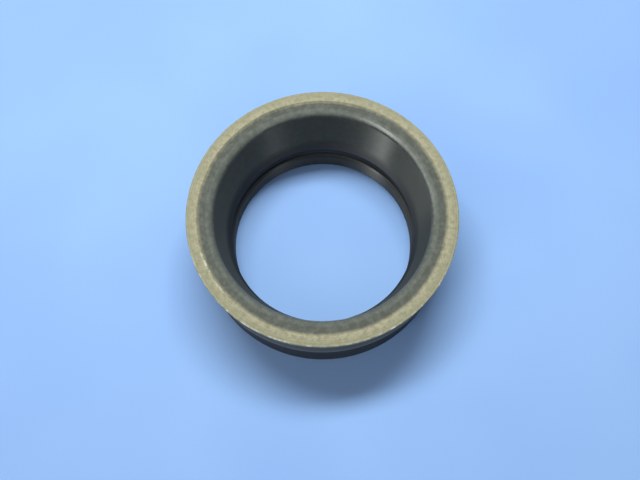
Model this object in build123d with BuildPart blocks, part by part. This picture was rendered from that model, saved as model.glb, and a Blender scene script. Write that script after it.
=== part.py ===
from build123d import *
import os

os.makedirs("parts", exist_ok=True)

# Rubber sealing ring with a flared mouth, standing on its base.
# Millimetres, +Z up along the ring's axis, origin at the centre of the base.

# Overall height, from the base to the ground rim face
height = 11.0

# Bore, from the base up: a rounded lip, a groove undercut below the throat, then the throat's land
bore_radius = 10.8
lip_height = 2.4
ledge_rise = 0.15
groove_depth = 0.5
undercut_height = 1.35
throat_land = 0.4

# The cone opens from the throat to the mouth, which two flat bands surround
cone_flare = 1.42
smooth_band_width = 1.5
smooth_band_recess = 0.15
rim_face_width = 1.28

# Outer wall: a drafted side band over a narrower straight body
side_band_height = 5.0
side_band_draft = 0.35
body_step = 0.2

# Edges rounded in the mould, and the corners that are only broken
mouth_round = 0.8
lip_round = 0.45
base_bevel = 0.3
bore_bevel = 0.3
side_band_bevel = 0.15
rim_bevel = 0.1

# Radii and levels that follow from the sizes above
mouth_radius = bore_radius + cone_flare
smooth_band_radius = mouth_radius + smooth_band_width
outer_radius = smooth_band_radius + rim_face_width
groove_radius = bore_radius + groove_depth
side_band_foot = outer_radius - side_band_draft
body_radius = side_band_foot - body_step

smooth_band_level = height - smooth_band_recess
side_band_level = height - side_band_height
groove_level = lip_height + ledge_rise
land_foot = groove_level + undercut_height
throat_level = land_foot + throat_land

with BuildPart() as ring:
    with BuildSketch(Plane.XZ):
        with BuildLine():
            # Base and outer wall, going up
            Polyline(
                (bore_radius, 0),
                (body_radius, 0),
                (body_radius, side_band_level),
                (side_band_foot, side_band_level),
                (outer_radius, height),
            )
            # Ground rim face, smooth band just below it, then cone and throat, going down
            Polyline(
                (outer_radius, height),
                (smooth_band_radius, height),
                (smooth_band_radius, smooth_band_level),
                (mouth_radius, smooth_band_level),
                (bore_radius, throat_level),
                (bore_radius, land_foot),
            )
            # Undercut below the throat, and the ledge from its groove to the lip
            Polyline(
                (bore_radius, land_foot),
                (groove_radius, groove_level),
                (bore_radius, lip_height),
                (bore_radius, 0),
            )
        make_face()
    revolve(axis=Axis.Z)


def round_edges(level):
    """The ring's round edges at one height, from the inside out."""
    flat_edges = ring.edges().filter_by(lambda edge: edge.bounding_box().size.Z < 1e-4)
    near = flat_edges.filter_by_position(Axis.Z, level - 0.01, level + 0.01)
    return near.sort_by(SortBy.RADIUS)


with ring:
    # The mouth and the lip are rounded where a mating part slides in
    fillet(round_edges(smooth_band_level)[0], mouth_round)
    fillet(round_edges(lip_height)[0], lip_round)

    # The base is bevelled outside and at the bore
    chamfer(round_edges(0)[-1], base_bevel)
    chamfer(round_edges(0)[0], bore_bevel)

    # The foot of the side band and the corner of the ground rim
    chamfer(round_edges(side_band_level)[-1], side_band_bevel)
    chamfer(round_edges(height)[-1], rim_bevel)

ring.part.label = "sealing_ring"
export_step(ring.part, "parts/sealing_ring.step")
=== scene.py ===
import math

import bpy
from mathutils import Matrix, Vector


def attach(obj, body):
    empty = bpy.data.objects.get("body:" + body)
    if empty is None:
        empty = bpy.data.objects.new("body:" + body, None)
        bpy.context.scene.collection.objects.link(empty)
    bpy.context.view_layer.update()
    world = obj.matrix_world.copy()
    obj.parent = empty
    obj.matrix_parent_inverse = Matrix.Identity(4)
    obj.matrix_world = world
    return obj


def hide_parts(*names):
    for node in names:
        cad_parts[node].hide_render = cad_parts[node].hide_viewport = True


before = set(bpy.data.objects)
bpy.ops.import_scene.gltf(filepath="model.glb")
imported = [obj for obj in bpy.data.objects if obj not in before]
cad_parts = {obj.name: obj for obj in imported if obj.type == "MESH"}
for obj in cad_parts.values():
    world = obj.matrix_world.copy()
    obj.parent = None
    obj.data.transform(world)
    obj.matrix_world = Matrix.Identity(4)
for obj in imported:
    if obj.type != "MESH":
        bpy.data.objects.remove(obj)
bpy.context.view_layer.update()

MM = 0.001

# The ring's section in millimetres, as in the CAD model
HEIGHT = 11.0
BORE_RADIUS = 10.8
LIP_HEIGHT = 2.4
GROOVE_RADIUS = 11.3
GROOVE_LEVEL = 2.55
LAND_FOOT = 3.9
THROAT_LEVEL = 4.3
MOUTH_RADIUS = 12.22
SMOOTH_BAND_LEVEL = 10.85
SMOOTH_BAND_RADIUS = 13.72
OUTER_RADIUS = 15.0
SIDE_BAND_LEVEL = 6.0
SIDE_BAND_FOOT = 14.65
BODY_RADIUS = 14.45

# The shoulder between the rim face and the smooth band is worn to a slope
SHOULDER_EASE = 0.07

# Each corner of the section, going round it from the foot of the bore:
# radius, height, how far its round reaches along both faces, and the steps in the round
CORNERS = {
    "bore foot": (BORE_RADIUS, 0.0, 0.3, 3),
    "base": (BODY_RADIUS, 0.0, 0.3, 6),
    "under side band": (BODY_RADIUS, SIDE_BAND_LEVEL, 0.035, 2),
    "side band foot": (SIDE_BAND_FOOT, SIDE_BAND_LEVEL, 0.15, 4),
    "rim": (OUTER_RADIUS, HEIGHT, 0.1, 4),
    "rim inside": (SMOOTH_BAND_RADIUS + SHOULDER_EASE, HEIGHT, 0.07, 4),
    "smooth band edge": (SMOOTH_BAND_RADIUS - SHOULDER_EASE, SMOOTH_BAND_LEVEL, 0.07, 4),
    "mouth": (MOUTH_RADIUS, SMOOTH_BAND_LEVEL, 0.65, 12),
    "throat": (BORE_RADIUS, THROAT_LEVEL, 0.25, 6),
    "land foot": (BORE_RADIUS, LAND_FOOT, 0.1, 4),
    "groove": (GROOVE_RADIUS, GROOVE_LEVEL, 0.1, 4),
    "lip": (BORE_RADIUS, LIP_HEIGHT, 0.33, 8),
}
TURN_STEPS = 360
SMOOTH_ANGLE = 35.0

# How close two points are in metres when they are merged, or when one counts as on a corner
MERGE_DISTANCE = 1e-6
ON_CORNER = 1e-5

# Each finish: its roughness, its gloss, and how far turned rings draw the gloss out across them
FINISHES = {
    "moulded_rubber": (0.6, 0.35, 0.0),
    "turned_bore_rubber": (0.45, 0.7, 1.0),
    "rubbed_mouth_rubber": (0.31, 0.55, 0.0),
    "dull_throat_rubber": (0.4, 0.35, 0.0),
}
OUTER_FINISH, BORE_FINISH, MOUTH_FINISH, THROAT_FINISH = range(len(FINISHES))
ACROSS_THE_RINGS = 0.25

# Borders of those finishes, in millimetres: the bore's begins above the bevel at its foot,
# and the mouth's covers the round between the cone and the flat of the smooth band
BORE_FINISH_FOOT = 0.35
MOUTH_FINISH_FOOT = 10.2
MOUTH_FINISH_RADIUS = 12.86
THROAT_FINISH_FOOT = LIP_HEIGHT + 0.05
THROAT_FINISH_TOP = THROAT_LEVEL + 0.1

# Where each zone of colour fades in or out, in millimetres of radius or height
TOP_IN = (HEIGHT - 0.45, HEIGHT - 0.2)
RIM_IN = (13.42, 13.92)
DULL_RIM_IN = (14.1, 14.7)
CORNER_IN = (14.82, 14.9)
STREAK_IN = (13.7, 13.8)
STREAK_OUT = (13.9, 14.05)
# The band reaches down over the mouth's round and the top of the cone, where the ridge's painted
# highlight lies
BAND_HEIGHT_IN = (9.75, 10.7)
BAND_RADIUS_IN = (11.95, 12.4)
RIDGE_OUT = (12.6, 13.0)
OUTSIDE_IN = (13.0, 13.5)
SIDE_BAND_IN = (5.9, 6.1)
# The painted highlight at the side band's foot fades out over this span
SIDE_HIGHLIGHT_OUT = (6.5, 7.9)
INSIDE_OUT = (12.4, 12.9)
THROAT_IN = (2.42, 2.52)
THROAT_OUT = (4.9, 6.5)
LIP_OUT = (2.4, 2.5)

# How far the borders wander, in millimetres
RAGGED_REACH = 0.18
SLOW_REACH = 0.3
MARKS_FOLLOW_BORDER = 0.6

# Noise patterns: scale, detail and roughness; each goes from 0 to 1
NOISE_MIDDLE = 0.5
FINE_GRAIN = (6500, 3, 0.65)
COARSE_GRAIN = (1900, 3, 0.6)
PATCHES = (420, 2, 0.5)
RUST_SPECKS = (2300, 2, 0.6)
MOSS_SPECKS = (1900, 2, 0.6)
GRINDING_MARKS = (3600, 3, 0.7)
SCUFFS = (1500, 4, 0.7)
RAGGED_BORDER = (1400, 3, 0.6)
SLOW_BORDER = (160, 1, 0.5)
CARD_MOTTLE = (40, 2, 0.5)

# Where each pattern starts to show and shows in full, from 0 to 1
KHAKI_MIX = (0.32, 0.68)
BAND_MIX = (0.35, 0.7)
RUBBER_MIX = (0.35, 0.75)
CARD_MIX = (0.3, 0.7)
PALE_GRAIN_SPAN = (0.4, 0.75)
PATCH_SPAN = (0.4, 0.7)
RUST_SPAN = (0.57, 0.68)
MOSS_SPAN = (0.6, 0.7)
PALE_MARK_SPAN = (0.5, 0.66)
DARK_MARK_SPAN = (0.34, 0.5)
SCUFF_SPAN = (0.44, 0.6)

# How strongly each layer shows, from 0 to 1
PALE_GRAIN_SHARE = 0.4
PATCH_SHARE = 0.35
DULL_RIM_SHARE = 0.5
RUST_SHARE = 0.3
MOSS_SHARE = 0.4
MARK_SHARE = 0.45
THROAT_SHADE_SHARE = 0.9
DUST_SHARE = 0.45
WEAR_AND_HIGHLIGHT_SHARE = 0.8

# Dust: how densely its specks lie, and the radius of their core and edge as shares of a cell
DUST_SCALE = 1300
DUST_SPAN = (0.04, 0.08)

# Tones from 0 to 255; the grain mixes the two of a pair
KHAKI = (146, 143, 116), (182, 177, 146)
PALE_GRAIN = (200, 197, 168)
GREENISH_PATCH = (150, 154, 122)
DULL_KHAKI = (136, 138, 112)
RUST = (190, 160, 128)
MOSS = (138, 156, 110)
PALE_MARK = (196, 192, 158)
DARK_MARK = (134, 131, 104)
SMOOTH_BAND = (88, 92, 83), (106, 110, 100)
# The ridge's lighter tone is a painted highlight on the mouth's round
RIDGE_HIGHLIGHT = (98, 104, 95), (116, 122, 112)
INSIDE_RUBBER = (66, 66, 51), (78, 78, 62)
# The outside body is painted far darker than the same rubber inside: painted shade
SHADED_OUTSIDE_RUBBER = (22, 21, 19), (32, 31, 28)
SIDE_BAND = (82, 75, 62), (96, 88, 73)
# The lighter line low on the side band is a painted highlight at its foot
SIDE_LINE_HIGHLIGHT = (118, 110, 93), (132, 124, 106)
# The dark throat colour is painted shade, tinted blue as a painted reflection of the floor
THROAT_SHADE = (28, 29, 37)
LIP = (54, 49, 38)
DUST = (150, 150, 138)
# The pale outer corner is mostly a painted highlight on two sides, with a little wear all round
CORNER_WEAR_AND_HIGHLIGHT = (226, 224, 204)
WORN_STREAK = (222, 220, 204)
FLOOR_CARD = (156, 197, 252), (162, 203, 255)
ROOM_LIGHT = (212, 226, 250)

# The painted highlight on the rim's outer corner, and the worn streak: the bearing of each one's
# middle and how far it spreads to each side, in degrees
LEFT_CORNER_HIGHLIGHT = (235, 50)
RIGHT_CORNER_HIGHLIGHT = (305, 35)
STREAK_WEAR = (208, 14)
WEAR_ALL_ROUND = 0.05

# How much rougher the rim, the throat and the coarse grain are
RIM_ROUGHER = 0.25
THROAT_ROUGHER = 0.4
GRAIN_ROUGHER = 0.15

# Relief of the grain: its share off the rim, its strength, and its depth in millimetres
GRAIN_OFF_RIM = 0.15
RELIEF_STRENGTH = 0.3
RELIEF_DEPTH = 0.03

FLOOR_SIZE = 3.0
FLOOR_ROUGHNESS = 0.8
ROOM_STRENGTH = 0.2

# Lamps: direction from the ring, then distance, width and depth in metres, and power in watts
STRIP_LAMP = ((-0.05, 0.318, 0.946), 0.16, 0.115, 0.03, 0.235)
WINDOW_LAMP = ((-0.59, -0.52, 0.61), 0.35, 0.08, 0.35, 0.15)
FRONT_LAMP = ((0.412, -0.494, 0.6), 0.35, 0.05, 0.25, 0.05)
GLOSS_CARDS = {
    "window_card": ((-0.66, -0.47, 0.59), 0.35, 0.035, 0.35, 0.85),
    "front_card": ((0.412, -0.494, 0.6), 0.35, 0.04, 0.35, 0.14),
    "left_card": ((-0.9, 0.05, 0.42), 0.35, 0.25, 0.35, 0.60),
}
CARD_TINT = (0.95, 1.0, 0.92)

# The camera: place in millimetres, angles in degrees, lens and sensor in millimetres of film
CAMERA_PLACE = (-0.330, -28.178, 82.479)
CAMERA_ELEVATION = 70.83
CAMERA_ROLL = -1.89
CAMERA_LENS = 39.375
CAMERA_SENSOR = 36.0
CAMERA_CLIP_START = 0.001


def deselect_all():
    """Leaves nothing selected in object mode."""
    if bpy.context.object and bpy.context.object.mode != "OBJECT":
        bpy.ops.object.mode_set(mode="OBJECT")
    bpy.ops.object.select_all(action="DESELECT")


def select_round_edges(ring, radius, level):
    """Selects the edges that run round the ring at one radius and height."""
    bpy.ops.mesh.select_mode(type="EDGE")
    bpy.ops.mesh.select_all(action="DESELECT")
    bpy.ops.object.mode_set(mode="OBJECT")
    mesh = ring.data
    on_corner = [
        abs(math.hypot(v.co.x, v.co.y) - radius * MM) < ON_CORNER
        and abs(v.co.z - level * MM) < ON_CORNER
        for v in mesh.vertices
    ]
    for edge in mesh.edges:
        edge.select = on_corner[edge.vertices[0]] and on_corner[edge.vertices[1]]
    bpy.ops.object.mode_set(mode="EDIT")


def turn_ring():
    """Draws the section by extrusion, turns it round the Z axis and rounds its corners."""
    deselect_all()
    bpy.ops.mesh.primitive_plane_add(size=MM)
    ring = bpy.context.object
    ring.name = ring.data.name = "moulded_ring"
    bpy.ops.object.mode_set(mode="EDIT")
    bpy.ops.mesh.select_all(action="SELECT")
    bpy.ops.mesh.merge(type="CENTER")
    points = [Vector((radius, 0, level)) * MM for radius, level, _, _ in CORNERS.values()]
    bpy.ops.transform.translate(value=points[0])
    for start, end in zip(points, points[1:] + points[:1]):
        bpy.ops.mesh.extrude_region_move(TRANSFORM_OT_translate={"value": end - start})
    bpy.ops.mesh.select_all(action="SELECT")
    bpy.ops.mesh.remove_doubles(threshold=MERGE_DISTANCE)
    bpy.ops.mesh.select_all(action="SELECT")
    bpy.ops.mesh.spin(steps=TURN_STEPS, angle=math.tau, center=(0, 0, 0), axis=(0, 0, 1))
    bpy.ops.mesh.select_all(action="SELECT")
    bpy.ops.mesh.remove_doubles(threshold=MERGE_DISTANCE)
    for radius, level, reach, steps in CORNERS.values():
        select_round_edges(ring, radius, level)
        bpy.ops.mesh.bevel(
            offset=reach * MM, offset_type="OFFSET", segments=steps, affect="EDGES"
        )
    bpy.ops.mesh.select_all(action="SELECT")
    bpy.ops.mesh.normals_make_consistent(inside=False)
    bpy.ops.object.mode_set(mode="OBJECT")
    bpy.ops.object.shade_smooth_by_angle(angle=math.radians(SMOOTH_ANGLE))
    return ring


def finish_at(radius, level):
    """The number of the finish that a face with this middle, in millimetres, has."""
    if radius >= MOUTH_FINISH_RADIUS or level <= BORE_FINISH_FOOT:
        return OUTER_FINISH
    if THROAT_FINISH_FOOT < level < THROAT_FINISH_TOP:
        return THROAT_FINISH
    return MOUTH_FINISH if level > MOUTH_FINISH_FOOT else BORE_FINISH


def tone(red, green, blue):
    """A colour from 0 to 255, turned from sRGB into the linear colour a shader socket takes."""
    channels = [c / 255 for c in (red, green, blue)]
    return [c / 12.92 if c <= 0.04045 else ((c + 0.055) / 1.055) ** 2.4 for c in channels] + [1.0]


class Finish:
    """A material with its shader and the helpers that wire its pattern."""

    def __init__(self, name):
        self.material = bpy.data.materials.new(name)
        self.material.use_nodes = True
        self.nodes = self.material.node_tree.nodes
        self.links = self.material.node_tree.links
        self.shader = self.nodes["Principled BSDF"]
        self.where = self.node("ShaderNodeTexCoord").outputs["Object"]

    def feed(self, value, socket):
        """Links a value that is a socket, and sets any other."""
        if isinstance(value, bpy.types.NodeSocket):
            self.links.new(value, socket)
        else:
            socket.default_value = value

    def node(self, kind, settings=None, **inputs):
        """Adds a node; an input's name has _ where the node's own name has a space."""
        made = self.nodes.new(kind)
        for key, value in (settings or {}).items():
            setattr(made, key, value)
        for key, value in inputs.items():
            self.feed(value, made.inputs[key.replace("_", " ")])
        return made

    def compute(self, operation, first, second):
        """One step of arithmetic on two values or sockets."""
        made = self.node("ShaderNodeMath", {"operation": operation})
        self.feed(first, made.inputs[0])
        self.feed(second, made.inputs[1])
        return made.outputs[0]

    def add(self, total, *others):
        for other in others:
            total = self.compute("ADD", total, other)
        return total

    def multiply(self, product, *others):
        for other in others:
            product = self.compute("MULTIPLY", product, other)
        return product

    def ramp_up(self, value, start, end):
        """0 below start, 1 above end, smooth between."""
        settings = {"interpolation_type": "SMOOTHSTEP"}
        ramp = self.node(
            "ShaderNodeMapRange", settings, Value=value, From_Min=start, From_Max=end
        )
        return ramp.outputs[0]

    def ramp_down(self, value, start, end):
        """1 below start, 0 above end, smooth between."""
        return self.compute("SUBTRACT", 1.0, self.ramp_up(value, start, end))

    def fade_in(self, value, span):
        """ramp_up over a span in millimetres."""
        return self.ramp_up(value, span[0] * MM, span[1] * MM)

    def fade_out(self, value, span):
        """ramp_down over a span in millimetres."""
        return self.ramp_down(value, span[0] * MM, span[1] * MM)

    def noise(self, pattern, where=None):
        """A noise pattern, by default over the object's own place."""
        scale, detail, roughness = pattern
        made = self.node(
            "ShaderNodeTexNoise",
            Vector=where or self.where,
            Scale=scale,
            Detail=detail,
            Roughness=roughness,
        )
        return made.outputs["Fac"]

    def off_middle(self, pattern):
        """How far a noise pattern is above or below its middle."""
        return self.compute("SUBTRACT", pattern, NOISE_MIDDLE)

    def specks(self, scale, span):
        """Scattered round specks, 1 in their core and 0 from their edge on."""
        cells = self.node("ShaderNodeTexVoronoi", Vector=self.where, Scale=scale)
        return self.ramp_down(cells.outputs["Distance"], *span)

    def blend(self, share, under, over):
        """The over colour laid on the under colour by share."""
        made = self.nodes.new("ShaderNodeMix")
        made.data_type = "RGBA"
        colour_sockets = [s for s in made.inputs if s.type == "RGBA"]
        self.feed(share, made.inputs[0])
        self.feed(under, colour_sockets[0])
        self.feed(over, colour_sockets[1])
        return [s for s in made.outputs if s.type == "RGBA"][0]

    def lay(self, under, over, share, *shares):
        """The over tone laid on the under colour by the product of the shares."""
        return self.blend(self.multiply(share, *shares), under, tone(*over))

    def mottle(self, pair, pattern, span):
        """The two tones of a pair, mixed as the pattern goes through the span."""
        return self.blend(self.ramp_up(pattern, *span), tone(*pair[0]), tone(*pair[1]))


class RingFinish(Finish):
    """A finish that knows its place on the ring, by radius and height, and the ring's zones."""

    def __init__(self, name):
        super().__init__(name)
        self.x, self.y, self.z = self.node("ShaderNodeSeparateXYZ", Vector=self.where).outputs
        squares = self.add(self.multiply(self.x, self.x), self.multiply(self.y, self.y))
        self.radius = self.compute("POWER", squares, 0.5)
        self.fine = self.noise(FINE_GRAIN)
        self.coarse = self.noise(COARSE_GRAIN)

        # Uneven borders between the zones
        self.slow = self.sway(SLOW_BORDER, SLOW_REACH)
        ragged = self.sway(RAGGED_BORDER, RAGGED_REACH)
        self.edge_radius = self.add(self.radius, ragged, self.slow)

        height, radius = self.z, self.radius
        self.top = self.fade_in(height, TOP_IN)
        self.rim = self.multiply(self.top, self.fade_in(self.edge_radius, RIM_IN))
        self.band = self.multiply(
            self.fade_in(height, BAND_HEIGHT_IN), self.fade_in(radius, BAND_RADIUS_IN)
        )
        # The ridge mask places the painted highlight on the mouth's round
        self.ridge_highlight = self.multiply(self.band, self.fade_out(radius, RIDGE_OUT))
        self.outside = self.fade_in(radius, OUTSIDE_IN)
        self.side_band = self.multiply(self.outside, self.fade_in(height, SIDE_BAND_IN))
        # The side line mask places the painted highlight at the side band's foot
        self.side_line_highlight = self.multiply(self.side_band, self.fade_out(height, SIDE_HIGHLIGHT_OUT))
        self.inside = self.fade_out(radius, INSIDE_OUT)
        # The throat mask places painted shade, and also the throat's extra roughness
        self.throat = self.multiply(
            self.fade_in(height, THROAT_IN), self.fade_out(height, THROAT_OUT), self.inside
        )
        self.lip = self.multiply(self.inside, self.fade_out(height, LIP_OUT))

    def sway(self, pattern, reach):
        """A wandering of up to half the reach, in millimetres, to each side."""
        return self.multiply(self.off_middle(self.noise(pattern)), reach * MM)

    def facing(self, bearing, spread):
        """1 on the side of the ring at this bearing in degrees, falling to 0 at the spread."""
        angle = math.radians(bearing)
        along = self.add(
            self.multiply(self.x, math.cos(angle)), self.multiply(self.y, math.sin(angle))
        )
        share = self.compute("DIVIDE", along, self.radius)
        return self.ramp_up(share, math.cos(math.radians(spread)), 1.0)

    def bare_rubber(self):
        """Black rubber with its side band, smooth band and dust, a darker lip, painted shade on
        the outside body and in the throat, and painted highlights on the ridge and at the side
        band's foot.
        """
        inside = self.mottle(INSIDE_RUBBER, self.coarse, RUBBER_MIX)
        outside = self.mottle(SHADED_OUTSIDE_RUBBER, self.coarse, RUBBER_MIX)
        side_band = self.mottle(SIDE_BAND, self.coarse, RUBBER_MIX)
        side_line_highlight = self.mottle(SIDE_LINE_HIGHLIGHT, self.coarse, RUBBER_MIX)
        band = self.mottle(SMOOTH_BAND, self.coarse, BAND_MIX)
        ridge_highlight = self.mottle(RIDGE_HIGHLIGHT, self.coarse, BAND_MIX)
        # Painted shade: the outside body far darker than the inside rubber
        colour = self.blend(self.outside, inside, outside)
        # Painted shade over the throat, land and groove
        colour = self.lay(colour, THROAT_SHADE, self.throat, THROAT_SHADE_SHARE)
        colour = self.lay(colour, LIP, self.lip)
        colour = self.blend(self.side_band, colour, side_band)
        # Painted highlight along the side band's foot
        colour = self.blend(self.side_line_highlight, colour, side_line_highlight)
        colour = self.blend(self.band, colour, band)
        # Painted highlight: the lighter ridge tone on the mouth's round
        colour = self.blend(self.ridge_highlight, colour, ridge_highlight)
        return self.lay(colour, DUST, self.specks(DUST_SCALE, DUST_SPAN), DUST_SHARE)

    def ground_rim(self):
        """Mottled khaki, duller towards its outer edge, with specks and grinding marks."""
        pale_grain = self.ramp_up(self.fine, *PALE_GRAIN_SPAN)
        patches = self.ramp_up(self.noise(PATCHES), *PATCH_SPAN)
        dull_edge = self.fade_in(self.edge_radius, DULL_RIM_IN)
        rust = self.ramp_up(self.noise(RUST_SPECKS), *RUST_SPAN)
        moss = self.ramp_up(self.noise(MOSS_SPECKS), *MOSS_SPAN)
        khaki = self.mottle(KHAKI, self.coarse, KHAKI_MIX)
        khaki = self.lay(khaki, PALE_GRAIN, pale_grain, PALE_GRAIN_SHARE)
        khaki = self.lay(khaki, GREENISH_PATCH, patches, PATCH_SHARE)
        khaki = self.lay(khaki, DULL_KHAKI, dull_edge, DULL_RIM_SHARE)
        khaki = self.lay(khaki, RUST, rust, RUST_SHARE)
        khaki = self.lay(khaki, MOSS, moss, MOSS_SHARE)

        # The marks run round the rim, so they change with the radius alone
        path = self.add(self.radius, self.multiply(self.slow, MARKS_FOLLOW_BORDER))
        round_the_rim = self.node("ShaderNodeCombineXYZ", X=path).outputs[0]
        marks = self.noise(GRINDING_MARKS, round_the_rim)
        khaki = self.lay(khaki, PALE_MARK, self.ramp_up(marks, *PALE_MARK_SPAN), MARK_SHARE)
        return self.lay(khaki, DARK_MARK, self.ramp_down(marks, *DARK_MARK_SPAN), MARK_SHARE)

    def wear_and_edge_highlight(self, colour):
        """A painted highlight on the rim's outer corner on two sides, over faint pale wear all
        round, and a pale worn streak where the rim meets the smooth band.
        """
        scuffs = self.ramp_up(self.noise(SCUFFS), *SCUFF_SPAN)
        corner = self.multiply(self.fade_in(self.radius, CORNER_IN), self.top)
        wear_and_highlight_sides = self.add(WEAR_ALL_ROUND, self.facing(*LEFT_CORNER_HIGHLIGHT), self.facing(*RIGHT_CORNER_HIGHLIGHT))
        streak = self.multiply(
            self.fade_in(self.radius, STREAK_IN), self.fade_out(self.radius, STREAK_OUT)
        )
        place = self.facing(*STREAK_WEAR)
        # Painted highlight on the corner at two bearings, over faint wear all round
        colour = self.lay(colour, CORNER_WEAR_AND_HIGHLIGHT, corner, scuffs, wear_and_highlight_sides, WEAR_AND_HIGHLIGHT_SHARE)
        return self.lay(colour, WORN_STREAK, streak, place, scuffs, WEAR_AND_HIGHLIGHT_SHARE)

    def roughness(self, smoothest):
        """The rim, the throat and the coarse grain add to the finish's own roughness."""
        return self.add(
            smoothest,
            self.multiply(self.rim, RIM_ROUGHER),
            self.multiply(self.throat, THROAT_ROUGHER),
            self.multiply(self.off_middle(self.coarse), GRAIN_ROUGHER),
        )


def rubber_finish(name, roughness, gloss, draw_out):
    """Black moulded rubber, with a ground khaki rim and a rubbed smooth band inside it."""
    finish = RingFinish(name)
    shader = finish.shader
    colour = finish.blend(finish.rim, finish.bare_rubber(), finish.ground_rim())
    finish.feed(finish.wear_and_edge_highlight(colour), shader.inputs["Base Color"])
    finish.feed(finish.roughness(roughness), shader.inputs["Roughness"])
    shader.inputs["Specular IOR Level"].default_value = gloss

    if draw_out:
        shader.inputs["Anisotropic"].default_value = draw_out
        shader.inputs["Anisotropic Rotation"].default_value = ACROSS_THE_RINGS
        rings = finish.node("ShaderNodeTangent", {"direction_type": "RADIAL", "axis": "Z"})
        finish.feed(rings.outputs[0], shader.inputs["Tangent"])

    grain = finish.multiply(finish.add(finish.rim, GRAIN_OFF_RIM), finish.fine)
    relief = finish.node(
        "ShaderNodeBump", Strength=RELIEF_STRENGTH, Distance=RELIEF_DEPTH * MM, Height=grain
    )
    finish.feed(relief.outputs[0], shader.inputs["Normal"])
    return finish.material


def dress_ring(ring):
    """Gives the ring its finishes, each face by its radius and height."""
    ring.data.materials.clear()
    for name, settings in FINISHES.items():
        ring.data.materials.append(rubber_finish(name, *settings))
    for face in ring.data.polygons:
        middle = face.center
        face.material_index = finish_at(math.hypot(middle.x, middle.y) / MM, middle.z / MM)


def lamp(name, direction, distance, width, depth, power):
    """A soft lamp that faces the ring from the given direction."""
    deselect_all()
    aim = Vector(direction).normalized()
    turn = aim.to_track_quat("Z", "Y").to_euler()
    bpy.ops.object.light_add(type="AREA", location=aim * distance, rotation=turn)
    made = bpy.context.object
    made.name = name
    made.data.shape = "RECTANGLE"
    made.data.size = width
    made.data.size_y = depth
    made.data.energy = power
    return made


def set_stage():
    """A plain pale blue floor, a faint sky, a strip lamp from behind and soft ones in front."""
    deselect_all()
    bpy.ops.mesh.primitive_plane_add(size=FLOOR_SIZE, location=(0, 0, 0))
    floor = bpy.context.object
    floor.name = "pale_floor"
    card = Finish("pale_blue_card")
    colour = card.mottle(FLOOR_CARD, card.noise(CARD_MOTTLE), CARD_MIX)
    card.feed(colour, card.shader.inputs["Base Color"])
    card.shader.inputs["Roughness"].default_value = FLOOR_ROUGHNESS
    floor.data.materials.append(card.material)

    world = bpy.data.worlds.new("soft_room")
    world.use_nodes = True
    background = world.node_tree.nodes["Background"]
    background.inputs["Color"].default_value = tone(*ROOM_LIGHT)
    background.inputs["Strength"].default_value = ROOM_STRENGTH
    bpy.context.scene.world = world

    # The strip lamp gives the light and the shadow, and the cards show in the gloss alone
    lamp("strip_lamp", *STRIP_LAMP).visible_glossy = False
    lamp("window_lamp", *WINDOW_LAMP)
    lamp("front_lamp", *FRONT_LAMP)
    for name, settings in GLOSS_CARDS.items():
        gloss_card = lamp(name, *settings)
        gloss_card.visible_diffuse = False
        gloss_card.data.color = CARD_TINT


def set_camera():
    """The camera of a close-up taken from above, a little off the ring's axis."""
    deselect_all()
    place = Matrix.Translation(Vector(CAMERA_PLACE) * MM)
    tilt = Matrix.Rotation(math.radians(90 - CAMERA_ELEVATION), 4, "X")
    roll = Matrix.Rotation(math.radians(CAMERA_ROLL), 4, "Z")
    bpy.ops.object.camera_add()
    camera = bpy.context.object
    camera.name = "close_up_camera"
    camera.data.lens = CAMERA_LENS
    camera.data.sensor_width = CAMERA_SENSOR
    camera.data.clip_start = CAMERA_CLIP_START
    camera.matrix_world = place @ tilt @ roll
    bpy.context.scene.camera = camera


ring = turn_ring()
dress_ring(ring)
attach(ring, "root")
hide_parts("sealing_ring")

set_stage()
set_camera()

bpy.context.scene.view_settings.view_transform = "Standard"
